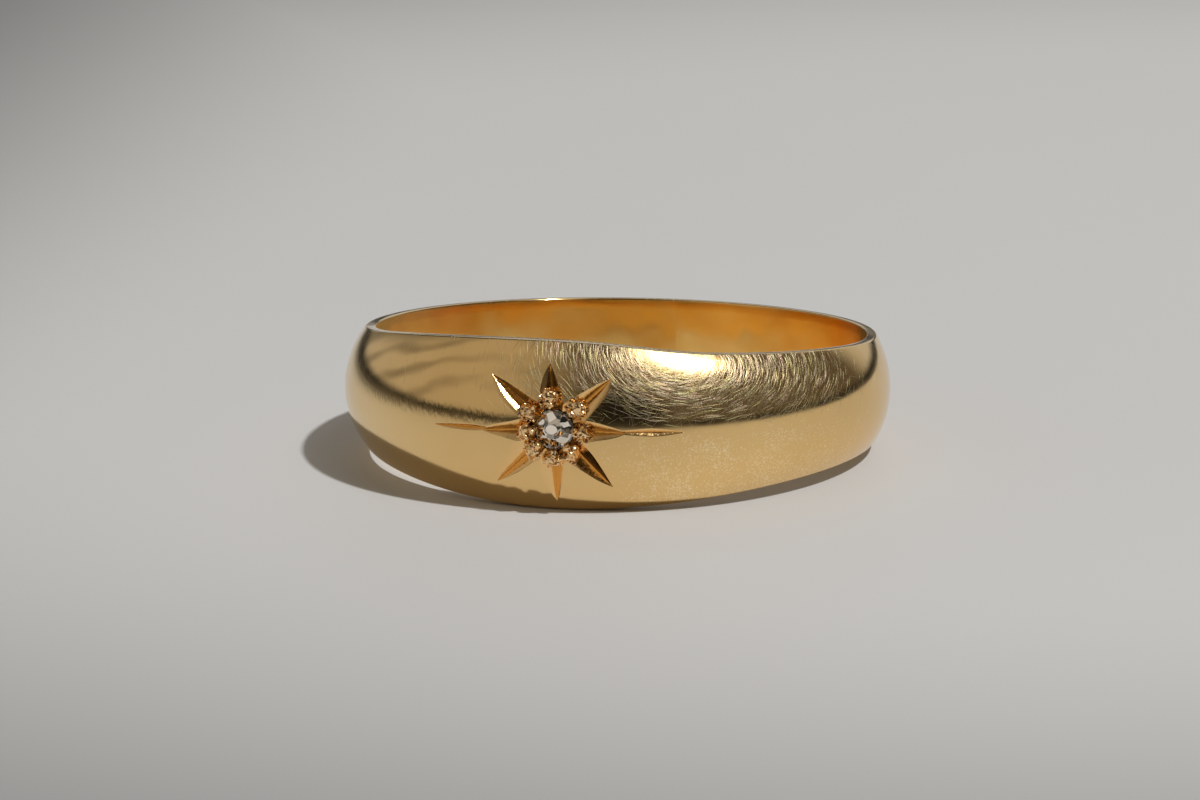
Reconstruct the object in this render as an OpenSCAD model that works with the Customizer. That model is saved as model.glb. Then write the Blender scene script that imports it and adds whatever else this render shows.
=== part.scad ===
// Tapering domed finger band with one old-cut stone sunk in an eight-rayed star.
// Lengths are in mm and +Z is up. The ring lies on its side, and its star faces -Y.

/* [Finger hole] */
// Inside diameter of the band
bore_d = 18.2; // [16:0.1:21]

/* [Band] */
// Width of the band at the star
head_w = 6.1; // [5.8:0.1:7]
// Width of the band opposite the star
back_w = 3.45; // [2.6:0.05:4.4]
// Thickness of the band at the star
head_t = 1.6; // [1.5:0.05:2]
// Thickness of the band opposite the star
back_t = 0.6; // [0.5:0.05:1.1]
// Thickness of the band's two edges at the star
head_edge_t = 0.55; // [0.45:0.05:0.6]
// Thickness of the band's two edges opposite the star
back_edge_t = 0.35; // [0.25:0.05:0.4]
// Softening of the outer corner of each edge
edge_soft = 0.07; // [0.03:0.01:0.1]
// Share of the widening that is spread evenly round the band
even_share = 0.4; // [0.2:0.05:0.8]
// How sharply the rest of the widening gathers at the star
flare_power = 6; // [3:1:8]
// How sharply the thickness gathers at the star
swell_power = 1.4; // [1:0.1:2]

/* [Star] */
// Reach of each ray from the stone's centre, from the right-hand one anticlockwise
ray_reach = [2.7, 2.75, 2.35, 3.05, 2.8, 3.05, 2.7, 2.95];
// Turn of each ray from its even place, in degrees anticlockwise, because the star is cut by eye
ray_turn = [-1, -2, 6, 7.5, 3, -2, -0.5, -0.5];
// Depth of each ray's groove, taken where it leaves its grain
ray_depth = [0.44, 0.42, 0.36, 0.44, 0.45, 0.46, 0.37, 0.44];
// Distance from the stone's centre at which the groove depths are taken
ray_root = 1.3; // [1.25:0.05:1.4]
// Reach of the two fine lines that run on along the middle of the band
line_reach = 4.65; // [3.6:0.05:5]
// Depth of the fine lines at the tips of their rays
line_depth = 0.07; // [0.04:0.01:0.1]
// Droop of the left-hand line, in degrees
line_droop = 2; // [0:0.5:3]

/* [Grains] */
// Distance of the eight raised grains from the stone's centre
grain_ring = 1.1; // [1.08:0.01:1.15]
// Diameter of a grain
grain_d = 0.6; // [0.56:0.02:0.64]
// Depth of a grain's middle under the top of the band
grain_drop = 0.25; // [0.22:0.01:0.28]
// Diameter of the tip that leans from a grain over the stone's edge
tip_d = 0.3; // [0.24:0.02:0.32]

/* [Stone] */
// Diameter of the stone at its girdle
stone_d = 1.46; // [1.3:0.02:1.5]
// Diameter of the small table facet
table_d = 0.7; // [0.56:0.02:0.8]
// Height of the crown above the girdle
crown_h = 0.22; // [0.2:0.01:0.24]
// Thickness of the girdle
girdle_t = 0.05; // [0.04:0.01:0.06]
// Depth of the pavilion below the girdle
pavilion_h = 0.62; // [0.56:0.02:0.7]
// Width of the flat culet facet
culet_d = 0.1; // [0.06:0.02:0.16]
// Clearance between the stone and its seat
seat_gap = 0.03; // [0.02:0.01:0.05]

/* [Hidden] */
$fn = 64;
bore_r = bore_d / 2;
top_r = bore_r + head_t;
sections = 120;
arc_steps = 12;
// The skin starts inside the finger hole, which is bored out afterwards.
core_r = bore_r - 0.5;

// The widening and the thickening, from 1 at the star to 0 opposite it
function near(a) = (1 + cos(a)) / 2;
function half_w(a) = (back_w + (head_w - back_w)
    * (even_share * near(a) + (1 - even_share) * pow(near(a), flare_power))) / 2;
function thick(a) = back_t + (head_t - back_t) * pow(near(a), swell_power);
function edge_t(a) = back_edge_t + (head_edge_t - back_edge_t) * pow(near(a), 2);
function edge_r(a) = bore_r + edge_t(a);

// The dome of a section is one arc between its two softened corners.
function arc_half(a) = half_w(a) - edge_soft;
function arc_rise(a) = thick(a) - edge_t(a);
function arc_r(a) = (pow(arc_half(a), 2) + pow(arc_rise(a), 2)) / (2 * arc_rise(a));
function arc_span(a) = asin(arc_half(a) / arc_r(a));
function arc_point(a, t) = [bore_r + thick(a) + arc_r(a) * (cos(t) - 1), arc_r(a) * sin(t)];
function outline(a) = concat(
    [[core_r, -half_w(a)], [edge_r(a) - edge_soft, -half_w(a)]],
    [for (k = [0:arc_steps]) arc_point(a, arc_span(a) * (2 * k / arc_steps - 1))],
    [[edge_r(a) - edge_soft, half_w(a)], [core_r, half_w(a)]]);
ring_size = arc_steps + 5;
skin_points = [for (i = [0:sections - 1]) let (a = 360 * i / sections)
    for (p = outline(a)) [p[0] * sin(a), -p[0] * cos(a), p[1]]];
function at(i, k) = (i % sections) * ring_size + k % ring_size;
skin_faces = [for (i = [0:sections - 1]) for (k = [0:ring_size - 1])
    for (f = [[at(i, k), at(i, k + 1), at(i + 1, k)], [at(i + 1, k), at(i, k + 1), at(i + 1, k + 1)]]) f];

// The ring leans until the wide front and the narrow back of its lower edge both touch.
lean = atan((head_w - back_w) / 2 / (bore_r + edge_r(180) - edge_soft));
foot_z = bore_r * sin(lean) - half_w(0) * cos(lean);
leaning_y = [for (p = skin_points) p[1] * cos(lean) + p[2] * sin(lean)];
mid_y = (min(leaning_y) + max(leaning_y)) / 2;

// How far the band's face has fallen away, at distance d from the star's middle in direction p
dome_r = arc_r(0);
round_r = pow(top_r, 2) / (top_r + swell_power * (head_t - back_t) / 2);
function fall(d, p) = pow(d * sin(p), 2) / (2 * dome_r) + pow(d * cos(p), 2) / (2 * round_r);

function ray_angle(k) = 45 * k + ray_turn[k];
stone_r = stone_d / 2;
table_r = table_d / 2;
culet_r = culet_d / 2;
seat_r = stone_r + seat_gap;
seat_floor = crown_h + girdle_t + 2 * seat_gap;
seat_depth = crown_h + girdle_t + pavilion_h + 0.1;

module at_rest() {
    translate([0, -mid_y, -foot_z]) {
        rotate([-lean, 0, 0]) {
            children();
        }
    }
}

// The star's own frame: x to the right, y up the band and z out of its face
module at_star() {
    translate([0, -top_r, 0]) {
        rotate([90, 0, 0]) {
            children();
        }
    }
}

module skin() {
    polyhedron(points = skin_points, faces = skin_faces, convexity = 6);
}

// A square bar on its corner cuts a straight V, deep at the root and nothing at the reach.
module v_cut(p, root, depth, reach) {
    low = -fall(root, p) - depth;
    pitch = atan((-fall(reach, p) - low) / (reach - root));
    rotate([0, 0, p]) {
        translate([root, 0, low]) {
            rotate([0, -pitch, 0]) {
                translate([-0.7, 0, 0]) {
                    rotate([45, 0, 0]) {
                        cube([reach - root + 1, 1.5, 1.5]);
                    }
                }
            }
        }
    }
}

module star_cuts() {
    for (k = [0:7]) {
        v_cut(ray_angle(k), ray_root, ray_depth[k], ray_reach[k]);
    }
    v_cut(0, ray_reach[0] - 0.1, line_depth, line_reach);
    v_cut(180 + line_droop, ray_reach[4] - 0.1, line_depth, line_reach);
}

module seat() {
    translate([0, 0, -seat_floor]) {
        cylinder(h = seat_floor + 1, r = seat_r);
    }
    translate([0, 0, -seat_depth]) {
        cylinder(h = seat_depth - seat_floor, r1 = culet_r + seat_gap, r2 = seat_r);
    }
}

module grains() {
    for (k = [0:7]) {
        rotate([0, 0, ray_angle(k)]) {
            translate([grain_ring, 0, -grain_drop]) {
                sphere(d = grain_d, $fn = 40);
            }
            translate([grain_ring - 0.8 * tip_d, 0, -0.1 * tip_d]) {
                sphere(d = tip_d, $fn = 32);
            }
        }
    }
}

// Old-cut stone: table, star facets, kites and halves above, mains, halves and a culet below
function polar(r, a, z) = [r * cos(a), r * sin(a), z];
star_r = (table_r + stone_r) / 2;
star_z = crown_h * (stone_r - star_r * cos(22.5)) / (stone_r - table_r);
low_r = 0.45 * stone_r;
low_z = -girdle_t - pavilion_h * (stone_r - low_r * cos(22.5)) / (stone_r - culet_r);
stone_points = concat(
    [for (k = [0:7]) polar(table_r, 45 * k, crown_h)],
    [for (k = [0:7]) polar(star_r, 45 * k + 22.5, star_z)],
    [for (k = [0:15]) polar(stone_r, 22.5 * k, 0)],
    [for (k = [0:15]) polar(stone_r, 22.5 * k, -girdle_t)],
    [for (k = [0:7]) polar(low_r, 45 * k + 22.5, low_z)],
    [for (k = [0:7]) polar(culet_r / cos(22.5), 45 * k + 22.5, -girdle_t - pavilion_h)]);
function t_i(k) = (k + 8) % 8;
function s_i(k) = 8 + (k + 8) % 8;
function g_i(k) = 16 + (k + 16) % 16;
function b_i(k) = 32 + (k + 16) % 16;
function l_i(k) = 48 + (k + 8) % 8;
function c_i(k) = 56 + (k + 8) % 8;
stone_faces = concat(
    [[for (k = [7:-1:0]) t_i(k)]],
    [for (k = [0:7]) [t_i(k), t_i(k + 1), s_i(k)]],
    [for (k = [0:7]) [t_i(k), s_i(k), g_i(2 * k), s_i(k - 1)]],
    [for (k = [0:7]) [s_i(k), g_i(2 * k + 1), g_i(2 * k)]],
    [for (k = [0:7]) [s_i(k), g_i(2 * k + 2), g_i(2 * k + 1)]],
    [for (k = [0:15]) [g_i(k), g_i(k + 1), b_i(k + 1), b_i(k)]],
    [for (k = [0:7]) [b_i(2 * k), b_i(2 * k + 1), l_i(k)]],
    [for (k = [0:7]) [b_i(2 * k + 1), b_i(2 * k + 2), l_i(k)]],
    [for (k = [0:7]) [b_i(2 * k), l_i(k), c_i(k), c_i(k - 1), l_i(k - 1)]],
    [[for (k = [0:7]) c_i(k)]]);

module band() {
    color([0.83, 0.66, 0.38]) {
        at_rest() {
            difference() {
                skin();
                cylinder(h = 2 * head_w, r = bore_r, center = true, $fn = 180);
                at_star() {
                    star_cuts();
                    seat();
                }
            }
            at_star() {
                grains();
            }
        }
    }
}

module diamond() {
    color([0.93, 0.95, 0.97, 0.8]) {
        at_rest() {
            at_star() {
                translate([0, 0, -crown_h]) {
                    rotate([0, 0, 11]) {
                        polyhedron(points = stone_points, faces = stone_faces, convexity = 2);
                    }
                }
            }
        }
    }
}

band();
diamond();
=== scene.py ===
"""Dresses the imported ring: a worn gold band with an engraved star, and the old-cut stone sunk in it."""
import math

import bmesh
import bpy
import numpy as np
from mathutils import Matrix, Vector


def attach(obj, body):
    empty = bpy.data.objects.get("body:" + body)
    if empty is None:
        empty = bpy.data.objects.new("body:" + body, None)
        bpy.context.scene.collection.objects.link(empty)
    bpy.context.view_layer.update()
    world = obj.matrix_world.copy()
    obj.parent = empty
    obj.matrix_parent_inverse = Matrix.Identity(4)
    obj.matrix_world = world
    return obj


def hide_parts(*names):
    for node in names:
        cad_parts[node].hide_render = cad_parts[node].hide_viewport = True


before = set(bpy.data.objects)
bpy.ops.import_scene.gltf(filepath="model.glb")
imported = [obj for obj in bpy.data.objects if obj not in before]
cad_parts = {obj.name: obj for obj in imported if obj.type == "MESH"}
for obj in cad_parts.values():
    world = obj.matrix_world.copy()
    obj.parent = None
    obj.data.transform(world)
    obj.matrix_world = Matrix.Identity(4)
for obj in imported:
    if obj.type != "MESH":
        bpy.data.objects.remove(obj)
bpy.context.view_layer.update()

# The band's own sizes, in mm, as in the part's source
BORE_R = 9.1
HEAD_W, BACK_W = 6.1, 3.45
HEAD_T, BACK_T = 1.6, 0.6
HEAD_EDGE_T, BACK_EDGE_T, EDGE_SOFT = 0.55, 0.35, 0.07
EVEN, FLARE, SWELL = 0.4, 6, 1.4
TOP_R = BORE_R + HEAD_T
LEAN = math.atan((HEAD_W - BACK_W) / 2 / (2 * BORE_R + BACK_EDGE_T - EDGE_SOFT))
STONE_D, TABLE_D, CROWN_H, GIRDLE_T, PAVILION_H, CULET_D = 1.46, 0.7, 0.22, 0.05, 0.62, 0.1
SEAT_GAP = 0.03
# Radius at which the skin map is true to size
MAP_R = 10.3

# The star, from the right-hand ray anticlockwise: angle in degrees, reach, and depth at the root in mm
RAY_ANGLE = [-1, 43, 96, 142.5, 183, 223, 269.5, 314.5]
RAY_REACH = [2.7, 2.75, 2.35, 3.05, 2.8, 3.05, 2.7, 2.95]
RAY_DEPTH = [0.34, 0.34, 0.38, 0.41, 0.34, 0.36, 0.36, 0.43]
RAY_ROOT = 1.3
# Each grain's angle, distance from the stone's centre and size
GRAINS = [(-6, 1.07, 0.58), (43, 1.17, 0.62), (99, 1.2, 0.62), (148, 1.18, 0.6),
          (184, 1.05, 0.58), (225, 1.12, 0.58), (269, 1.1, 0.58), (308, 1.07, 0.56)]


def star_to_ring(p):
    """From the star's frame (x right, y up the band, z out of its face) to the ring's own."""
    p = np.asarray(p, float)
    return np.stack([p[..., 0], -TOP_R - p[..., 2], p[..., 1]], -1)


# ---- The band's shape, by the angle from the star ----

def near(a):
    """From 1 at the star to 0 opposite it."""
    return (1 + np.cos(a)) / 2


def hill(a, at, spread):
    """A smooth hill of height 1 at the angle at, in degrees."""
    return np.exp(-((np.degrees(a) - at) / spread) ** 2)


def half_w(a, up=False):
    """Half the band's width. Its upper edge, filed and worn by hand, wanders by a tenth of a millimetre."""
    w = (BACK_W + (HEAD_W - BACK_W) * (EVEN * near(a) + (1 - EVEN) * near(a) ** FLARE)) / 2
    a = (a + math.pi) % (2 * math.pi) - math.pi
    return w + np.where(up, 0.15 * hill(a, -43, 28) - 0.13 * hill(a, 28, 16) + 0.05 * hill(a, 68, 15), 0.0)


def thick(a):
    return BACK_T + (HEAD_T - BACK_T) * near(a) ** SWELL


def edge_t(a):
    return BACK_EDGE_T + (HEAD_EDGE_T - BACK_EDGE_T) * near(a) ** 2


def arc_r(a, up=False):
    h, r = half_w(a, up) - EDGE_SOFT, thick(a) - edge_t(a)
    return (h * h + r * r) / (2 * r)


def dome(a, t):
    """A point of the outer face at angle a and dome angle t."""
    ar = arc_r(a, t > 0)
    r = BORE_R + thick(a) + ar * (np.cos(t) - 1)
    return np.stack([r * np.sin(a), -r * np.cos(a), ar * np.sin(t)], -1)


def resting_place():
    """Shift from the leaning ring's own frame to the shared one, which puts its feet and its box's middle at zero."""
    a = np.radians(np.arange(0, 360, 3))[:, None]
    span = np.arcsin((half_w(a) - EDGE_SOFT) / arc_r(a))
    skin = dome(a, span * np.linspace(-1, 1, 13))
    y = skin[..., 1] * math.cos(LEAN) + skin[..., 2] * math.sin(LEAN)
    foot = BORE_R * math.sin(LEAN) - HEAD_W / 2 * math.cos(LEAN)
    return np.array([0.0, -(y.min() + y.max()) / 2, -foot])


def to_frame(p):
    """From the ring's own frame (hole along Z, star at -Y, in mm) to the shared frame, in metres."""
    return (turn_to_frame(np.asarray(p, float)) + SHIFT) * 0.001


def turn_to_frame(n):
    """Leans a direction, or a point, with the ring."""
    c, s = math.cos(LEAN), math.sin(LEAN)
    return np.stack([n[..., 0], n[..., 1] * c + n[..., 2] * s, -n[..., 1] * s + n[..., 2] * c], -1)


SHIFT = resting_place()


def dome_normal(a, t):
    e = 1e-4
    da = dome(a + e, t) - dome(a - e, t)
    dt = dome(a, t + e) - dome(a, t - e)
    n = np.cross(da, dt)
    return n / np.linalg.norm(n, axis=-1, keepdims=True)


def surface_z(x, y):
    """Height of the outer face in the star's frame."""
    x, y = np.asarray(x, float), np.asarray(y, float)
    a = np.arcsin(x / TOP_R)
    for _ in range(12):
        ar = arc_r(a, y > 0)
        t = np.arcsin(np.clip(y / ar, -1, 1))
        r = BORE_R + thick(a) + ar * (np.cos(t) - 1)
        a = np.arcsin(x / r)
    return r * np.cos(a) - TOP_R


# Softening of the edge's corner in the finger hole and of its outer corner, in mm
IN_SOFT, OUT_SOFT = 0.05, 0.11
# Points of half a section: along the hole, round each corner and up the dome
HOLE_STEPS, IN_STEPS, OUT_STEPS, DOME_STEPS = 5, 5, 6, 26


def half_section(a, up):
    """One half of the closed profile at each angle of a, from the middle of the bore to the crest."""
    hw, th, ar = half_w(a, up), thick(a), arc_r(a, up)
    mid = BORE_R + th - ar
    f = OUT_SOFT
    fr = mid + np.sqrt((ar - f) ** 2 - (hw - f) ** 2)
    tf = np.arctan2(hw - f, fr - mid)
    rs, zs = [], []

    def add(r, z):
        rs.append(np.broadcast_to(r, a.shape))
        zs.append(np.broadcast_to(z, a.shape))

    for k in range(HOLE_STEPS):
        add(BORE_R, (hw - IN_SOFT) * k / HOLE_STEPS)
    for k in range(IN_STEPS):
        q = math.pi / 2 * k / (IN_STEPS - 1)
        add(BORE_R + IN_SOFT * (1 - math.cos(q)), hw - IN_SOFT + IN_SOFT * math.sin(q))
    add((BORE_R + IN_SOFT + fr) / 2, hw)
    for k in range(OUT_STEPS):
        q = math.pi / 2 + (tf - math.pi / 2) * k / OUT_STEPS
        add(fr + f * np.cos(q), hw - f + f * np.sin(q))
    for k in range(DOME_STEPS):
        t = tf * (1 - k / DOME_STEPS)
        add(mid + ar * np.cos(t), ar * np.sin(t))
    add(mid + ar, hw * 0)
    return np.stack(rs, 1), np.stack(zs, 1)


def band_points(a):
    (r, z), (low_r, low_z) = half_section(a, True), half_section(a, False)
    r = np.concatenate([r, low_r[:, -2:0:-1]], 1)
    z = np.concatenate([z, -low_z[:, -2:0:-1]], 1)
    return np.stack([r * np.sin(a)[:, None], -r * np.cos(a)[:, None], z], -1)


def new_mesh(name, verts, faces):
    m = bpy.data.meshes.new(name)
    m.from_pydata([tuple(v) for v in verts], [], [tuple(int(i) for i in f) for f in faces])
    m.validate()
    m.update()
    return m


def new_object(name, mesh):
    o = bpy.data.objects.new(name, mesh)
    bpy.context.scene.collection.objects.link(o)
    return o


def outward(mesh):
    b = bmesh.new()
    b.from_mesh(mesh)
    bmesh.ops.recalc_face_normals(b, faces=b.faces)
    b.to_mesh(mesh)
    b.free()
    return mesh


SECTIONS = 360


def bare_band():
    """The band before anything is cut into it."""
    a = np.arange(SECTIONS) * 2 * math.pi / SECTIONS
    pts = band_points(a)
    k = pts.shape[1]
    i, j = np.meshgrid(np.arange(SECTIONS), np.arange(k), indexing="ij")
    i2, j2 = (i + 1) % SECTIONS, (j + 1) % k
    faces = np.stack([i * k + j, i2 * k + j, i2 * k + j2, i * k + j2], -1).reshape(-1, 4)
    return outward(new_mesh("band", pts.reshape(-1, 3), faces))


# ---- The star's cutters and grains, in the star's frame ----

# Each ray's walls: the slope of their lower part, then for each wall, anticlockwise side first, the share of the
# depth at which it turns and its slope above that
WALLS = [(0.9, (0.75, 0.6), (0.7, 0.6)), (0.88, (0.6, 0.6), (0.7, 0.6)), (0.93, (0.95, 0.9), (0.85, 0.6)),
         (0.99, (0.5, 1.19), (0.75, 0.65)), (0.9, (0.7, 0.6), (0.75, 0.6)), (0.88, (0.65, 0.6), (0.6, 0.55)),
         (0.9, (0.8, 0.6), (0.6, 0.45)), (0.97, (0.9, 1.0), (0.8, 1.22))]
# Waver of a cut's bottom, in mm, and of its walls, as a share of their width
BOTTOM_WAVER, WALL_WAVER = 0.004, 0.05
# How far a cutter runs on past its tip, the depth from which its fine V is whole and the least half width of that V
RUN_ON, WHOLE_V, LEAST_V = 0.22, 0.12, 0.002
# How far under the skin a wall ends, its least rise, and how far out and up the cutter spreads from there
WALL_STOP, LEAST_RISE, SPREAD_OUT, SPREAD_UP = 0.01, 0.004, 0.6, 0.18


def ray_cutter(angle, reach, depth, root, seed, start=0.5, groove=0.055, steps=26,
               walls=(0.9, (0.8, 1.0), (0.8, 1.0))):
    """A leaf-shaped cut: two walls that change slope on their way up, and a fine V down its middle.

    depth is taken at the distance root from the stone's centre. It comes to nothing at the ray's reach."""
    rng = np.random.default_rng(seed)
    p = math.radians(angle)
    c, s = math.cos(p), math.sin(p)
    z_root = surface_z(root * c, root * s) - depth
    z_tip = surface_z(reach * c, reach * s)
    phase = rng.uniform(0, 6.28, 4)
    rings = []
    for d in np.linspace(start, reach + RUN_ON, steps):
        zb = z_root + (z_tip - z_root) * (d - root) / (reach - root)
        zs = float(surface_z(d * c, d * s))
        zb += BOTTOM_WAVER * math.sin(5 * d + phase[0])
        deep = max(zs - zb, 0.0)
        g = min(deep / WHOLE_V, 1.0)
        e = groove * g + LEAST_V
        low = walls[0]
        z_e = zb + e * low
        side = []
        for sign, ph, (share, slope) in ((1, phase[1], walls[1]), (-1, phase[2], walls[2])):
            w = 1 + WALL_WAVER * math.sin(4 * d + ph)
            rise = max(deep - e * low - WALL_STOP * g, LEAST_RISE)
            qm = e + rise * share / low
            q1 = qm + rise * (1 - share) / slope
            zm, z1 = z_e + rise * share, z_e + rise
            side.append([(sign * e, z_e), (sign * qm * w, zm), (sign * q1 * w, z1),
                         (sign * (q1 * w + SPREAD_OUT), z1 + SPREAD_UP)])
        left = side[1][::-1]
        ring = left + [(0.0, zb - 0.5 * groove * g)] + side[0]
        rings.append([(d * c - q * s, d * s + q * c, z) for q, z in ring])
    verts = [v for r in rings for v in r]
    n = len(rings[0])
    faces = []
    for i in range(len(rings) - 1):
        for j in range(n):
            j2 = (j + 1) % n
            faces.append((i * n + j, i * n + j2, (i + 1) * n + j2, (i + 1) * n + j))
    faces.append(tuple(range(n))[::-1])
    faces.append(tuple((len(rings) - 1) * n + j for j in range(n)))
    return outward(new_mesh("cut", star_to_ring(np.array(verts)), faces))


def lathe(profile, n=72):
    """A turned solid. The profile's first and last points lie on its axis."""
    verts, faces = [], []
    for r, z in profile[1:-1]:
        for k in range(n):
            q = 2 * math.pi * k / n
            verts.append((r * math.cos(q), r * math.sin(q), z))
    for i in range(len(profile) - 3):
        for k in range(n):
            k2 = (k + 1) % n
            faces.append((i * n + k, i * n + k2, (i + 1) * n + k2, (i + 1) * n + k))
    faces.append(tuple(range(n)))
    faces.append(tuple((len(profile) - 3) * n + k for k in range(n)))
    return outward(new_mesh("lathe", star_to_ring(np.array(verts)), faces))


# Scatter of a grain's corners, softening of its edges, and the growth that makes up for it
SCATTER, RUBBED, REGROWN = 0.16, 0.45, 1.08


def nugget(centre, size, turn, seed, corners=26):
    """An irregular grain of pushed-up metal: the hull of a few scattered corners, with its edges rubbed soft."""
    rng = np.random.default_rng(seed)
    k = np.arange(corners)
    z = 1 - 2 * (k + 0.5) / corners
    q = k * math.pi * (3 - math.sqrt(5)) + rng.uniform(0, 6.28)
    v = np.stack([np.sqrt(1 - z * z) * np.cos(q), np.sqrt(1 - z * z) * np.sin(q), z], 1)
    v += rng.normal(size=v.shape) * SCATTER
    v *= rng.uniform(0.8, 1.08, (corners, 1)) / np.linalg.norm(v, axis=1, keepdims=True)
    b = bmesh.new()
    hull = bmesh.ops.convex_hull(b, input=[b.verts.new(x) for x in v])
    loose = [g for g in hull["geom_interior"] if isinstance(g, bmesh.types.BMVert)]
    bmesh.ops.delete(b, geom=loose, context="VERTS")
    bmesh.ops.subdivide_edges(b, edges=b.edges[:], cuts=3, use_grid_fill=True)
    bmesh.ops.triangulate(b, faces=b.faces[:])
    bmesh.ops.smooth_vert(b, verts=b.verts[:], factor=RUBBED, use_axis_x=True, use_axis_y=True, use_axis_z=True)
    v = np.array([x.co for x in b.verts]) * (np.array(size) / 2 * REGROWN)
    c, s = math.cos(turn), math.sin(turn)
    v = np.stack([v[:, 0] * c - v[:, 1] * s, v[:, 0] * s + v[:, 1] * c, v[:, 2]], 1) + np.array(centre)
    for x, co in zip(b.verts, star_to_ring(v)):
        x.co = co
    m = bpy.data.meshes.new("nugget")
    bmesh.ops.recalc_face_normals(b, faces=b.faces)
    b.to_mesh(m)
    b.free()
    return m


def combine(first, others, how):
    """Adds or takes away each mesh of others, one at a time, and returns the result."""
    o = new_object("work", first)
    for m in others:
        tool = new_object("tool", m)
        mod = o.modifiers.new("cut", "BOOLEAN")
        mod.operation, mod.solver, mod.object = how, "MANIFOLD", tool
        bpy.context.view_layer.update()
        dg = bpy.context.evaluated_depsgraph_get()
        done = bpy.data.meshes.new_from_object(o.evaluated_get(dg))
        o.modifiers.clear()
        o.data = done
        bpy.data.objects.remove(tool)
    mesh = o.data
    bpy.data.objects.remove(o)
    return mesh


LINE_GROOVE, LINE_STEPS = 0.01, 16
cuts = [ray_cutter(RAY_ANGLE[k], RAY_REACH[k], RAY_DEPTH[k], RAY_ROOT, 10 + k, walls=WALLS[k]) for k in range(8)]
cuts.append(ray_cutter(-0.5, 4.65, 0.05, RAY_REACH[0] - 0.1, 31, RAY_REACH[0] - 0.25, LINE_GROOVE, LINE_STEPS,
                       walls=(0.65, (0.8, 0.7), (0.8, 0.8))))
cuts.append(ray_cutter(182, 4.69, 0.075, RAY_REACH[4] - 0.1, 32, RAY_REACH[4] - 0.25, LINE_GROOVE, LINE_STEPS))
seat_r = STONE_D / 2 + SEAT_GAP
step_z = -(CROWN_H + GIRDLE_T + 2 * SEAT_GAP)
end_z = -(CROWN_H + GIRDLE_T + PAVILION_H + 0.1)
cuts.append(lathe([(0, end_z), (CULET_D / 2 + SEAT_GAP, end_z), (seat_r, step_z), (seat_r, 1.0), (0, 1.0)]))

# Each grain's middle and height, and the tip that leans from it over the stone: how far in, its middle and its size.
# Tips and the three small lumps round each grain have fewer corners.
GRAIN_Z, GRAIN_H = -0.235, 0.62
TIP_IN, TIP_Z, TIP_SIZE = 0.26, -0.05, (0.32, 0.36, 0.27)
SMALL_H, FEW = 0.36, 14
lumps = []
for k, (deg, dist, size) in enumerate(GRAINS):
    q = math.radians(deg)
    rng = np.random.default_rng(50 + k)
    lumps.append(nugget((dist * math.cos(q), dist * math.sin(q), GRAIN_Z), (size, size, GRAIN_H), q, 60 + k))
    tip = dist - TIP_IN
    lumps.append(nugget((tip * math.cos(q), tip * math.sin(q), TIP_Z), TIP_SIZE, q, 80 + k, FEW))
    for j, side in enumerate((-1, 1, 0)):
        d2 = dist + (rng.uniform(-0.08, 0.08) if side else rng.uniform(0.12, 0.2))
        q2 = q + side * rng.uniform(0.18, 0.26)
        wide = rng.uniform(0.24, 0.34)
        lumps.append(nugget((d2 * math.cos(q2), d2 * math.sin(q2), rng.uniform(-0.2, -0.1)),
                            (wide, wide * 0.9, SMALL_H), rng.uniform(0, 3), 200 + 3 * k + j, FEW))

whole = combine(bare_band(), cuts, "DIFFERENCE")
whole = combine(whole, lumps, "UNION")


# ---- Finish of the band's mesh: triangles, normals, and a map of its skin in mm ----

# How near, in mm, a corner lies to the skin or the hole to belong to it
SKIN_NEAR, HOLE_NEAR = 0.0015, 0.001
# Reach of the cuts and of the grains from the stone's centre, a grain's own reach, and the level its faces lie above
CUT_R, GRAINS_R, GRAIN_R, GRAIN_LOW = 5, 1.52, 0.36, -0.42
# An edge that turns by more than this, in degrees, stays sharp
SHARP = 24


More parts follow.
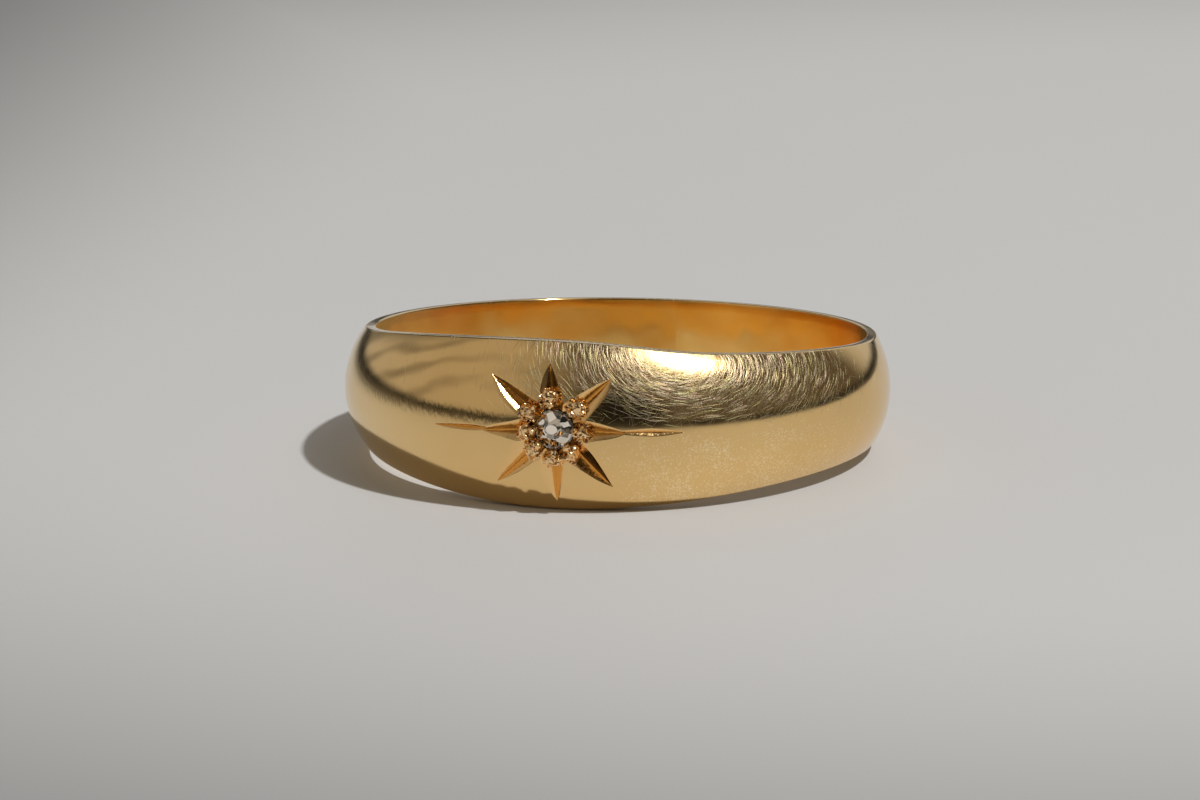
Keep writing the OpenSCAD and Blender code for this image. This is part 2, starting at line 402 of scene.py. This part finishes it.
def finish_band(mesh):
    """Triangulates the band, sorts its faces by finish (0 outside, 1 hole, 2 cut, 3 grain) and gives its skin true
    normals."""
    b = bmesh.new()
    b.from_mesh(mesh)
    bmesh.ops.triangulate(b, faces=b.faces, quad_method="BEAUTY", ngon_method="EAR_CLIP")
    b.to_mesh(mesh)
    b.free()
    co = np.empty(len(mesh.vertices) * 3)
    mesh.vertices.foreach_get("co", co)
    co = co.reshape(-1, 3)
    a = np.arctan2(co[:, 0], -co[:, 1])
    r = np.hypot(co[:, 0], co[:, 1])
    ar = arc_r(a, co[:, 2] > 0)
    t = np.arcsin(np.clip(co[:, 2] / ar, -1, 1))
    skin_r = BORE_R + thick(a) + ar * (np.cos(t) - 1)
    on_skin = np.abs(r - skin_r) < SKIN_NEAR
    tri = np.array([p.vertices[:] for p in mesh.polygons])
    inside = np.abs(r - BORE_R) < HOLE_NEAR
    face_skin = on_skin[tri].all(1)
    face_in = inside[tri].all(1)
    # the star's frame
    x, y, z = co[:, 0], co[:, 2], -co[:, 1] - TOP_R
    d = np.hypot(x, y)
    in_star = (z > -3) & (d < CUT_R) & (co[:, 1] < 0) & (r > BORE_R + 0.1)
    cen = co[tri].mean(1)
    cx, cy = cen[:, 0], cen[:, 2]
    cd = np.hypot(cx, cy)
    front = (cen[:, 1] < -8.5) & (np.hypot(cen[:, 0], cen[:, 1]) > BORE_R + 0.15)
    cut = front & ~face_skin & (cd < CUT_R) & (np.abs(cy) < half_w(np.arctan2(cen[:, 0], -cen[:, 1])) - 0.12)
    grain = cut & (cd < GRAINS_R) & in_star[tri].all(1)
    # a grain's faces are those near one of its lumps' skins rather than on a groove's wall
    kind = np.zeros(len(tri), int)
    kind[face_in] = 1
    kind[cut] = 2
    near_grain = np.zeros(len(tri), bool)
    for deg, dist, _ in GRAINS:
        q = math.radians(deg)
        near_grain |= np.hypot(cx - dist * math.cos(q), cy - dist * math.sin(q)) < GRAIN_R
    high = (-cen[:, 1] - TOP_R) > GRAIN_LOW
    kind[grain & near_grain & high] = 3
    mesh.polygons.foreach_set("use_smooth", np.ones(len(tri), bool))
    mesh.update()
    mesh.set_sharp_from_angle(angle=math.radians(SHARP))
    # true normals on the skin, the mesh's own elsewhere
    nl = len(mesh.loops)
    own = np.empty(nl * 3, np.float32)
    mesh.corner_normals.foreach_get("vector", own)
    own = own.reshape(-1, 3).astype(float)
    loop_v = np.empty(nl, np.int32)
    mesh.loops.foreach_get("vertex_index", loop_v)
    starts = np.empty(len(tri), np.int32)
    mesh.polygons.foreach_get("loop_start", starts)
    loop_skin = np.zeros(nl, bool)
    for k in range(3):
        loop_skin[starts[face_skin] + k] = True
    sel = np.where(loop_skin)[0]
    vi = loop_v[sel]
    own[sel] = dome_normal(a[vi], t[vi])
    return own, a, starts, kind, tri


own, ang, starts, kind, tri = finish_band(whole)

# the skin map: round the band, across it, in mm, with its seam at the back
uv = whole.uv_layers.new(name="UVMap")
co = np.array([v.co for v in whole.vertices])
face_a = ang[tri]
ref = face_a[:, :1]
face_a = ref + (face_a - ref + math.pi) % (2 * math.pi) - math.pi
u = face_a * MAP_R
v = co[tri][:, :, 2]
flat_uv = np.zeros((len(whole.loops), 2))
for k in range(3):
    flat_uv[starts + k, 0] = u[:, k]
    flat_uv[starts + k, 1] = v[:, k]
uv.data.foreach_set("uv", flat_uv.ravel())

band_co = to_frame(co)
whole.vertices.foreach_set("co", band_co.ravel())
whole.update()
whole.normals_split_custom_set([tuple(n) for n in turn_to_frame(own)])
band = new_object("worn_band", whole)


# ---- The stone ----

def stone_mesh():
    """Table, star, kite and half facets above the girdle, short halves, mains and a culet below it."""
    sr, tr, cr = STONE_D / 2, TABLE_D / 2, CULET_D / 2
    star_r = (tr + sr) / 2
    star_z = CROWN_H * (sr - star_r * math.cos(math.pi / 8)) / (sr - tr)
    low_r = 0.72 * sr
    low_z = -GIRDLE_T - PAVILION_H * (sr - low_r * math.cos(math.pi / 8)) / (sr - cr)

    def ring(n, r, off, z):
        turns = [2 * math.pi * (k + off) / n for k in range(n)]
        return [(r * math.cos(q), r * math.sin(q), z) for q in turns]

    table = ring(8, tr, 0, CROWN_H)
    stars = ring(8, star_r, 0.5, star_z)
    top = ring(16, sr, 0, 0)
    bottom = ring(16, sr, 0, -GIRDLE_T)
    low = ring(8, low_r, 0.5, low_z)
    culet = ring(8, cr / math.cos(math.pi / 8), 0.5, -GIRDLE_T - PAVILION_H)
    v = np.array(table + stars + top + bottom + low + culet)
    f = [tuple(range(8))]
    for k in range(8):
        n, p = (k + 1) % 8, (k + 7) % 8
        f.append((k, 8 + k, n))
        f.append((k, 8 + p, 16 + 2 * k, 8 + k))
        f.append((8 + k, 16 + 2 * k, 16 + 2 * k + 1))
        f.append((8 + k, 16 + 2 * k + 1, 16 + (2 * k + 2) % 16))
        f.append((32 + 2 * k, 48 + k, 32 + 2 * k + 1))
        f.append((32 + 2 * k + 1, 48 + k, 32 + (2 * k + 2) % 16))
        f.append((32 + 2 * k, 48 + p, 56 + p, 56 + k, 48 + k))
    for k in range(16):
        f.append((16 + k, 32 + k, 32 + (k + 1) % 16, 16 + (k + 1) % 16))
    f.append(tuple(56 + k for k in range(8)))
    q = math.radians(11)
    v = np.stack([v[:, 0] * math.cos(q) - v[:, 1] * math.sin(q), v[:, 0] * math.sin(q) + v[:, 1] * math.cos(q),
                  v[:, 2] - CROWN_H], 1)
    return outward(new_mesh("stone", to_frame(star_to_ring(v)), f))


stone = new_object("old_cut_stone", stone_mesh())


# ---- Materials ----

class Nodes:
    """A short way to build a node tree."""

    def __init__(self, tree):
        self.tree = tree

    def add(self, kind, links=None, **values):
        n = self.tree.nodes.new(kind)
        for k, val in values.items():
            setattr(n, k, val)
        for k, val in (links or {}).items():
            self.put(n.inputs[k], val)
        return n

    def put(self, socket, val):
        if isinstance(val, bpy.types.NodeSocket):
            self.tree.links.new(val, socket)
        else:
            socket.default_value = val

    def math(self, op, a, b=0.0, c=0.0, clamp=False):
        return self.add("ShaderNodeMath", {0: a, 1: b, 2: c}, operation=op, use_clamp=clamp).outputs[0]

    def vec(self, op, a, b=(0, 0, 0)):
        return self.add("ShaderNodeVectorMath", {0: a, 1: b}, operation=op).outputs[0]

    def length(self, v):
        return self.add("ShaderNodeVectorMath", {0: v}, operation="LENGTH").outputs[1]

    def dot(self, a, b):
        return self.add("ShaderNodeVectorMath", {0: a, 1: b}, operation="DOT_PRODUCT").outputs[1]

    def split(self, v):
        return self.add("ShaderNodeSeparateXYZ", {0: v}).outputs

    def join(self, x, y=0.0, z=0.0):
        return self.add("ShaderNodeCombineXYZ", {0: x, 1: y, 2: z}).outputs[0]

    def noise(self, vector, scale, detail=0.0, rough=0.5, dims="2D"):
        links = {"Vector": vector, "Scale": scale, "Detail": detail, "Roughness": rough}
        return self.add("ShaderNodeTexNoise", links, noise_dimensions=dims).outputs[0]

    def dice(self, vector):
        """One random number and one random colour for each value of vector."""
        return self.add("ShaderNodeTexWhiteNoise", {"Vector": vector}, noise_dimensions="3D").outputs

    def step(self, x, low, high):
        """Smoothly from 0 at low to 1 at high."""
        return self.add("ShaderNodeMapRange", {0: x, 1: low, 2: high, 3: 0.0, 4: 1.0},
                        interpolation_type="SMOOTHSTEP").outputs[0]

    def line(self, x, low, high, out_low, out_high):
        return self.add("ShaderNodeMapRange", {0: x, 1: low, 2: high, 3: out_low, 4: out_high}).outputs[0]

    def mix(self, factor, a, b):
        return self.add("ShaderNodeMix", {0: factor, 6: a, 7: b}, data_type="RGBA").outputs[2]

    def blend(self, factor, a, b):
        return self.add("ShaderNodeMix", {0: factor, 2: a, 3: b}, data_type="FLOAT").outputs[0]

    def turn_between(self, factor, a, b):
        """A direction between a and b."""
        return self.add("ShaderNodeMix", {0: factor, 4: a, 5: b}, data_type="VECTOR").outputs[1]

    def bump(self, height, distance, normal=None):
        n = self.add("ShaderNodeBump", {"Height": height, "Strength": 1.0, "Distance": distance, "Filter Width": 0.3})
        if normal:
            self.put(n.inputs["Normal"], normal)
        return n.outputs[0]

    def flakes(self, place, scale, tilt, share=1.0, lean=(0, 0, 0)):
        """Normals that lean by up to half of tilt, and by lean, in a share of small cells."""
        cell = self.add("ShaderNodeTexVoronoi", {"Vector": place, "Scale": scale})
        picked = self.math("LESS_THAN", self.dice(cell.outputs["Position"])[0], share)
        away = self.vec("ADD", self.scaled(self.vec("SUBTRACT", cell.outputs["Color"], (0.5, 0.5, 0.5)), tilt), lean)
        face = self.add("ShaderNodeNewGeometry").outputs["Normal"]
        return self.vec("NORMALIZE", self.vec("ADD", face, self.scaled(away, picked))), picked

    def scaled(self, vector, size):
        return self.add("ShaderNodeVectorMath", {0: vector, 3: size}, operation="SCALE").outputs[0]


class Finish(Nodes):
    """A material's node tree, with its shader, a metal's unless changed, and the band's skin map in mm."""

    def __init__(self, name):
        self.mat = bpy.data.materials.new(name)
        self.mat.use_nodes = True
        super().__init__(self.mat.node_tree)
        self.shader = self.tree.nodes["Principled BSDF"]
        self.shader.inputs["Metallic"].default_value = 1.0
        self.map = self.add("ShaderNodeUVMap", uv_map="UVMap").outputs[0]
        self.solid = self.add("ShaderNodeTexCoord").outputs["Object"]

    def set(self, **values):
        for k, val in values.items():
            self.put(self.shader.inputs[k.replace("_", " ")], val)


def scratches(n, place, turn, length, gap, width, share, seed):
    """Short straight scratches near one direction, one in a share of the cells of a long narrow grid.

    Returns where they are, a random colour for each, and each one's direction as a share of a full turn."""
    turned = n.add("ShaderNodeVectorRotate", {"Vector": place, "Angle": -turn}, rotation_type="Z_AXIS").outputs[0]
    xyz = n.split(turned)
    y = n.math("DIVIDE", xyz[1], gap)
    row = n.math("FLOOR", y)
    slide = n.dice(n.join(row, seed))[0]
    x = n.math("MULTIPLY_ADD", slide, 7.0, n.math("DIVIDE", xyz[0], length))
    col = n.math("FLOOR", x)
    colour = n.dice(n.join(col, row, seed + 0.5))[1]
    chance, centre, lean = n.add("ShaderNodeSeparateColor", {0: colour}).outputs[:3]
    fx, fy = n.math("FRACT", x), n.math("FRACT", y)
    lean = n.math("SUBTRACT", lean, 0.5)
    middle = n.math("MULTIPLY_ADD", lean, n.math("SUBTRACT", fx, 0.5), n.line(centre, 0, 1, 0.3, 0.7))
    off = n.math("MULTIPLY", n.math("ABSOLUTE", n.math("SUBTRACT", fy, middle)), gap)
    taper = n.math("MULTIPLY", n.math("MULTIPLY", fx, n.math("SUBTRACT", 1.0, fx)), 4 * width)
    here = n.math("DIVIDE", n.math("SUBTRACT", taper, off), 0.5 * width, clamp=True)
    here = n.math("MULTIPLY", here, n.math("LESS_THAN", chance, share))
    return here, colour, n.math("MULTIPLY_ADD", lean, gap / length / (2 * math.pi), turn / (2 * math.pi) + 0.25)


def gold_outside():
    """Old polish under a haze of fine scratches. A scratch is rough across itself and smooth along it, so it
    lights up only where it lies square to the light, and the glints ring the highlight."""
    n = Finish("gold_worn")
    along, across = n.split(n.map)[:2]
    drift = n.add("ShaderNodeTexNoise", {"Vector": n.map, "Scale": 0.25}, noise_dimensions="2D").outputs[1]
    place = n.vec("ADD", n.map, n.vec("MULTIPLY", drift, (0.8, 0.8, 0)))
    # the band is most rubbed above and to the right of its star
    worn = n.math("SUBTRACT", n.step(along, -3.0, 0.8), n.step(along, 9.0, 14.0))
    worn = n.math("MULTIPLY", worn, n.step(across, 0.0, 0.9))
    share = n.math("MULTIPLY_ADD", worn, 0.3, n.math("MULTIPLY", n.step(across, 0.0, 0.6), 0.002))
    middle = n.vec("MULTIPLY", n.vec("SUBTRACT", n.map, (4.0, 1.9, 0)), (0.25, 0.55, 0))
    share = n.math("MULTIPLY_ADD", n.step(n.length(middle), 1.0, 0.2), 0.2, share)
    calm = n.vec("MULTIPLY", n.vec("SUBTRACT", n.map, (2.0, 0.6, 0)), (0.8, 1.1, 0))
    share = n.math("MULTIPLY", share, n.line(n.length(calm), 0.4, 1.3, 0.3, 1.0))
    # most rubbing runs round a spot under the rim
    spoke = n.vec("NORMALIZE", n.vec("MULTIPLY", n.vec("SUBTRACT", n.map, (3.6, 2.7, 0)), (0.45, 1.0, 0)))
    total, colour, turn = 0.0, (0.5, 0.5, 0.5, 1), 0.0
    layers = 16
    for i in range(layers):
        angle = math.pi * (i + 0.3 * math.sin(5.0 * i)) / layers
        off_spoke = n.math("ABSOLUTE", n.dot(spoke, (math.cos(angle), math.sin(angle), 0)))
        length = 0.95 + 0.35 * math.sin(2.3 * i)
        gap = 0.047 + 0.009 * math.cos(3.1 * i)
        width = 0.0062 + 0.0016 * math.sin(1.7 * i)
        here_share = n.math("MULTIPLY", share, n.line(off_spoke, 0.15, 0.75, 1.5, 0.25))
        here, tint, way = scratches(n, place, angle, length, gap, width, here_share, 3 * i + 1)
        colour, turn, total = n.mix(here, colour, tint), n.blend(here, turn, way), n.math("MAXIMUM", total, here)
    # short nicks that run up and down the band
    nicks = n.math("MULTIPLY", n.step(across, 0.8, 1.6), 0.3)
    here, tint, way = scratches(n, n.map, math.pi / 2 - 0.04, 0.5, 0.2, 0.009, nicks, 77)
    colour, turn, total = n.mix(here, colour, tint), n.blend(here, turn, way), n.math("MAXIMUM", total, here)
    base = n.mix(n.noise(n.map, 0.5, 2.0), (0.86, 0.58, 0.245, 1), (0.885, 0.61, 0.27, 1))
    # painted reflection: a slightly paler gold on the left, set after the photo
    left = n.math("MULTIPLY", n.step(along, -3.0, -9.0), n.step(along, -25.0, -16.0))
    base = n.mix(n.math("MULTIPLY", left, 0.6), base, (0.93, 0.71, 0.39, 1))
    # painted glints: the scratches are painted paler and in random tints
    glint = n.mix(n.math("MULTIPLY", total, 0.35), base, n.mix(0.4, colour, (1.0, 0.9, 0.75, 1)))
    # painted glints: tiny dots below and to the right of the star, painted paler like a sandy sparkle
    painted_sparkle_share = n.math("SUBTRACT", n.step(along, 1.0, 4.5), n.step(along, 10.0, 15.0))
    painted_sparkle_share = n.math("MULTIPLY", painted_sparkle_share, n.step(across, 0.2, -0.8))
    painted_sparkle_share = n.math("MULTIPLY", painted_sparkle_share, n.line(n.noise(n.map, 0.7, 1.0), 0.35, 0.65, 0.05, 0.3))
    wave = n.bump(n.noise(n.map, 0.55, 2.0, 0.45), 0.000006)
    # fine hairs across the middle, left of the star
    hairs = n.noise(n.vec("MULTIPLY", n.map, (11.0, 3.0, 1)), 1.0, 1.0)
    where = n.math("MULTIPLY", n.step(along, -1.0, -2.5), n.step(n.math("ABSOLUTE", across), 1.0, 0.2))
    hairs = n.math("MULTIPLY", hairs, where)
    wave = n.bump(hairs, 0.000006, wave)
    # the painted sparkle's dots: they do not lean, only their colour is painted paler
    grain = n.flakes(n.solid, 26000.0, 0.0, painted_sparkle_share)[1]
    smooth = n.line(n.noise(n.map, 0.8, 3.0), 0.3, 0.7, 0.08, 0.14)
    n.set(Base_Color=n.mix(n.math("MULTIPLY", grain, 0.8), glint, (1.0, 0.80, 0.47, 1)),
          Anisotropic=n.math("MULTIPLY", total, 0.97), Anisotropic_Rotation=turn,
          Tangent=n.add("ShaderNodeTangent", direction_type="UV_MAP", uv_map="UVMap").outputs[0],
          Roughness=n.blend(total, smooth, 0.42), Normal=wave)
    return n.mat


def gold_inside():
    """The finger's side: polished smooth, with long soft rubbing marks."""
    n = Finish("gold_hole")
    along = n.math("ABSOLUTE", n.split(n.map)[0])
    base = n.mix(n.noise(n.map, 0.4, 2.0), (0.93, 0.59, 0.175, 1), (0.96, 0.63, 0.21, 1))
    # a brighter, less metallic orange at the sides: a stand-in for the light that the metal throws on itself
    sides = n.step(along, 25.0, 17.0)
    n.set(Base_Color=n.mix(sides, base, (1.0, 0.66, 0.21, 1)), Metallic=n.line(sides, 0, 1, 1.0, 0.7),
          Roughness=n.line(n.noise(n.map, 0.7, 2.0), 0.3, 0.7, 0.12, 0.2),
          Normal=n.bump(n.noise(n.map, 0.4, 1.0), 0.00005))
    return n.mat


def gold_cut():
    """Bright cuts, which a graver leaves clean, with fine bruises that glitter."""
    n = Finish("gold_bright_cut")
    n.set(Base_Color=n.mix(n.noise(n.map, 1.7, 2.0), (0.88, 0.56, 0.23, 1), (0.92, 0.62, 0.28, 1)),
          Roughness=n.line(n.noise(n.map, 3.0, 2.0), 0.3, 0.7, 0.07, 0.15),
          Normal=n.flakes(n.solid, 30000.0, n.line(n.noise(n.map, 4.0, 2.0), 0.35, 0.65, 0.03, 0.13))[0])
    return n.mat


def gold_grain():
    """Grains of pushed-up metal, broken into many small faces that sparkle."""
    n = Finish("gold_grain")
    n.set(Base_Color=n.mix(n.noise(n.solid, 2500.0, 2.0, 0.5, "3D"), (0.95, 0.58, 0.24, 1), (1.0, 0.76, 0.46, 1)),
          Roughness=n.line(n.noise(n.solid, 5000.0, 2.0, 0.5, "3D"), 0.3, 0.7, 0.05, 0.13),
          Normal=n.flakes(n.solid, 12000.0, n.line(n.noise(n.solid, 4000.0, 1.0, 0.5, "3D"), 0.3, 0.7, 0.5, 1.7))[0])
    return n.mat


def clear_stone():
    """Clear stone with a mosaic of mirror-like patches, placed after the photo. They are a stand-in for the
    light that the back facets of an old cut throw back."""
    n = Finish("old_diamond")
    x, _, z = n.split(n.solid)[:3]
    centre = to_frame(np.array([0.0, -TOP_R, 0.0]))
    flat = n.join(n.math("MULTIPLY", x, 1000.0), n.math("MULTIPLY_ADD", z, 1000.0, -1000.0 * centre[2]))
    tilted, picked = n.flakes(n.vec("ADD", flat, (9.4, 4.2, 0)), 3.8, 0.6, 0.36, (0, 0, -0.45))
    warm, side = n.flakes(n.vec("ADD", flat, (7.3, 2.9, 0)), 4.6, 0.5, 0.6, (-0.5, 0, 0.3))
    off = n.length(n.vec("MULTIPLY", n.vec("ADD", flat, (0.05, -0.02, 0)), (1.0, 1.25, 0)))
    middle = n.step(off, 0.225, 0.195)
    face = n.add("ShaderNodeNewGeometry").outputs["Normal"]
    radius = n.length(flat)
    # a clear ring keeps the middle patch apart
    picked = n.math("MULTIPLY", picked, n.step(off, 0.25, 0.29))
    bright = n.math("MULTIPLY", n.math("MAXIMUM", picked, middle), n.step(radius, 0.66, 0.6))
    haze = n.noise(n.solid, 3000.0, 2.0, 0.5, "3D")
    n.shader.inputs["IOR"].default_value = 2.42
    n.shader.inputs["Transmission Weight"].default_value = 0.96
    down = n.vec("NORMALIZE", n.vec("ADD", face, (0, 0, -0.45)))
    side = n.math("MULTIPLY", side, n.math("MULTIPLY", n.step(radius, 0.7, 0.64), 0.8))
    facing = n.turn_between(bright, n.turn_between(side, face, warm), tilted)
    facing = n.turn_between(n.math("MULTIPLY", middle, bright), facing, down)
    n.set(Base_Color=n.mix(haze, (1.0, 0.89, 0.74, 1), (1.0, 0.95, 0.87, 1)),
          Metallic=n.math("MAXIMUM", bright, side),
          Roughness=n.math("MULTIPLY", n.step(haze, 0.62, 0.8), 0.08), Normal=n.vec("NORMALIZE", facing))
    return n.mat


whole.materials.clear()
for mat in (gold_outside(), gold_inside(), gold_cut(), gold_grain()):
    whole.materials.append(mat)
whole.polygons.foreach_set("material_index", kind.astype(np.int32))
stone.data.materials.append(clear_stone())

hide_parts("band")
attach(band, "root")
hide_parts("diamond")
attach(stone, "root")


# ---- Floor, light and camera ----

def floor():
    """Pale round the ring, with painted shade far off and on the left, as the metal mirrors it in the photo."""
    b = bmesh.new()
    bmesh.ops.create_circle(b, cap_ends=True, segments=96, radius=1.5)
    m = bpy.data.meshes.new("floor")
    b.to_mesh(m)
    b.free()
    o = new_object("floor", m)
    n = Finish("pale_floor")
    n.shader.inputs["Metallic"].default_value = 0.0
    n.shader.inputs["Roughness"].default_value = 0.6
    pale = n.mix(n.noise(n.solid, 30.0, 3.0, 0.5, "3D"), (0.655, 0.66, 0.67, 1), (0.685, 0.69, 0.70, 1))
    away = n.length(n.vec("SUBTRACT", n.solid, (0.015, 0.03, 0)))
    left = n.math("MULTIPLY", n.step(n.split(n.solid)[0], -0.02, -0.06), 0.75)
    # painted shade: far from the ring the floor turns nearly black, and on the left it darkens
    dim = n.math("MAXIMUM", n.step(away, 0.045, 0.125), left)
    n.set(Base_Color=n.mix(dim, pale, (0.03, 0.03, 0.03, 1)))
    m.materials.append(n.mat)


floor()


def aim_vector(azimuth, elevation):
    """A direction from the ring, in degrees: azimuth from the star's side towards +X."""
    a, e = math.radians(azimuth), math.radians(elevation)
    return (math.cos(e) * math.sin(a), -math.cos(e) * math.cos(a), math.sin(e))


def key_light(azimuth, elevation, distance, size, power, colour):
    """A round lamp that shines on the middle of the ring."""
    data = bpy.data.lights.new("key", "AREA")
    data.shape = "DISK"
    data.size = size
    data.energy = power
    data.color = colour
    o = bpy.data.objects.new("key", data)
    bpy.context.scene.collection.objects.link(o)
    o.location = [distance * x for x in aim_vector(azimuth, elevation)]
    o.rotation_mode = "QUATERNION"
    o.rotation_quaternion = (Vector((0, 0, 0.002)) - o.location).to_track_quat("-Z", "Y")


key_light(74, 61, 0.9, 0.045, 5.3, (1.0, 0.985, 0.96))


def studio():
    """Soft studio light, set so that the metal mirrors what it does in the photo: a warm banded glow on the left, a
    pale one behind, a bright patch round the key light, a dark patch towards the photo's camera, shade elsewhere."""
    world = bpy.data.worlds.new("studio")
    bpy.context.scene.world = world
    world.use_nodes = True
    n = Nodes(world.node_tree)
    way = n.add("ShaderNodeTexCoord").outputs["Generated"]
    height = n.split(way)[2]
    glow = n.step(n.dot(way, aim_vector(-80, 12)), 0.24, 0.74)
    # soft slanting bands in the glow, strongest towards the back
    slant = n.math("MULTIPLY", n.dot(way, (-0.27, -0.74, -0.62)), 25.0)
    bands = n.math("SINE", n.math("MULTIPLY_ADD", n.noise(way, 1.6, 1.0, 0.5, "3D"), 9.0, slant))
    reach = n.step(n.dot(way, aim_vector(-118, 22)), 0.35, 0.85)
    folds = n.line(n.noise(n.vec("MULTIPLY", way, (1.0, 1.0, 2.5)), 2.0, 1.0, 0.5, "3D"), 0.35, 0.65, 0.75, 1.1)
    glow = n.math("MULTIPLY", glow, n.math("MULTIPLY_ADD", n.math("MULTIPLY", bands, reach), 0.48, folds))
    behind = n.step(n.dot(way, aim_vector(178, 12)), 0.75, 0.94)
    window = n.step(n.dot(way, aim_vector(77, 64)), math.cos(math.radians(17)), math.cos(math.radians(5)))
    camera_side = n.step(n.dot(way, aim_vector(16, 14)), math.cos(math.radians(26)), math.cos(math.radians(5)))
    high_back = n.step(n.dot(way, aim_vector(-155, 48)), 0.7, 0.9)
    colour = n.mix(glow, (0.10, 0.085, 0.068, 1), (0.45, 0.405, 0.34, 1))
    colour = n.mix(high_back, colour, (0.05, 0.05, 0.045, 1))
    colour = n.mix(window, colour, (1.5, 1.45, 1.35, 1))
    colour = n.mix(behind, colour, (0.52, 0.52, 0.51, 1))
    colour = n.mix(camera_side, colour, (0.015, 0.014, 0.013, 1))
    colour = n.mix(n.step(height, 0.015, 0.1), (0.03, 0.03, 0.028, 1), colour)
    n.put(world.node_tree.nodes["Background"].inputs[0], colour)


studio()

# The photo's view of the ring: its direction in the ring's own frame, distance and roll, and pixels to a millimetre
YAW, ELEV, DIST, ROLL = math.radians(13.2), math.radians(9.55), 300.0, math.radians(0.31)
PX_MM = 26.93
PICTURE_W, SENSOR_MM = 1200, 36.0
# How far the ring's middle lies right of the picture's centre and above it, in thousands of pixels
OFF_X, OFF_Y = 0.021, 0.0175

cam_data = bpy.data.cameras.new("camera")
cam = bpy.data.objects.new("camera", cam_data)
bpy.context.scene.collection.objects.link(cam)
eye_ring = DIST * np.array([math.cos(ELEV) * math.sin(YAW), -math.cos(ELEV) * math.cos(YAW), math.sin(ELEV)])
eye, middle = Vector(to_frame(eye_ring)), Vector(to_frame(np.zeros(3)))
cam_data.sensor_width = SENSOR_MM
cam_data.lens = PX_MM * DIST / PICTURE_W * SENSOR_MM
cam_data.clip_start, cam_data.clip_end = 0.01, 10.0
cam.location = eye
forward = (middle - eye).normalized()
up0 = Vector(turn_to_frame(np.array([0.0, 0.0, 1.0])))
right = forward.cross(up0).normalized()
up = right.cross(forward)
target = middle - right * (OFF_X / PX_MM) - up * (OFF_Y / PX_MM)
forward = (target - eye).normalized()
right = forward.cross(up0).normalized()
up = right.cross(forward)
right, up = (right * math.cos(ROLL) + up * math.sin(ROLL)), (up * math.cos(ROLL) - right * math.sin(ROLL))
cam.rotation_mode = "QUATERNION"
cam.rotation_quaternion = Matrix((right, up, -forward)).transposed().to_quaternion()
bpy.context.scene.camera = cam
cam_data.dof.use_dof = False

bpy.context.scene.view_settings.view_transform = "Standard"
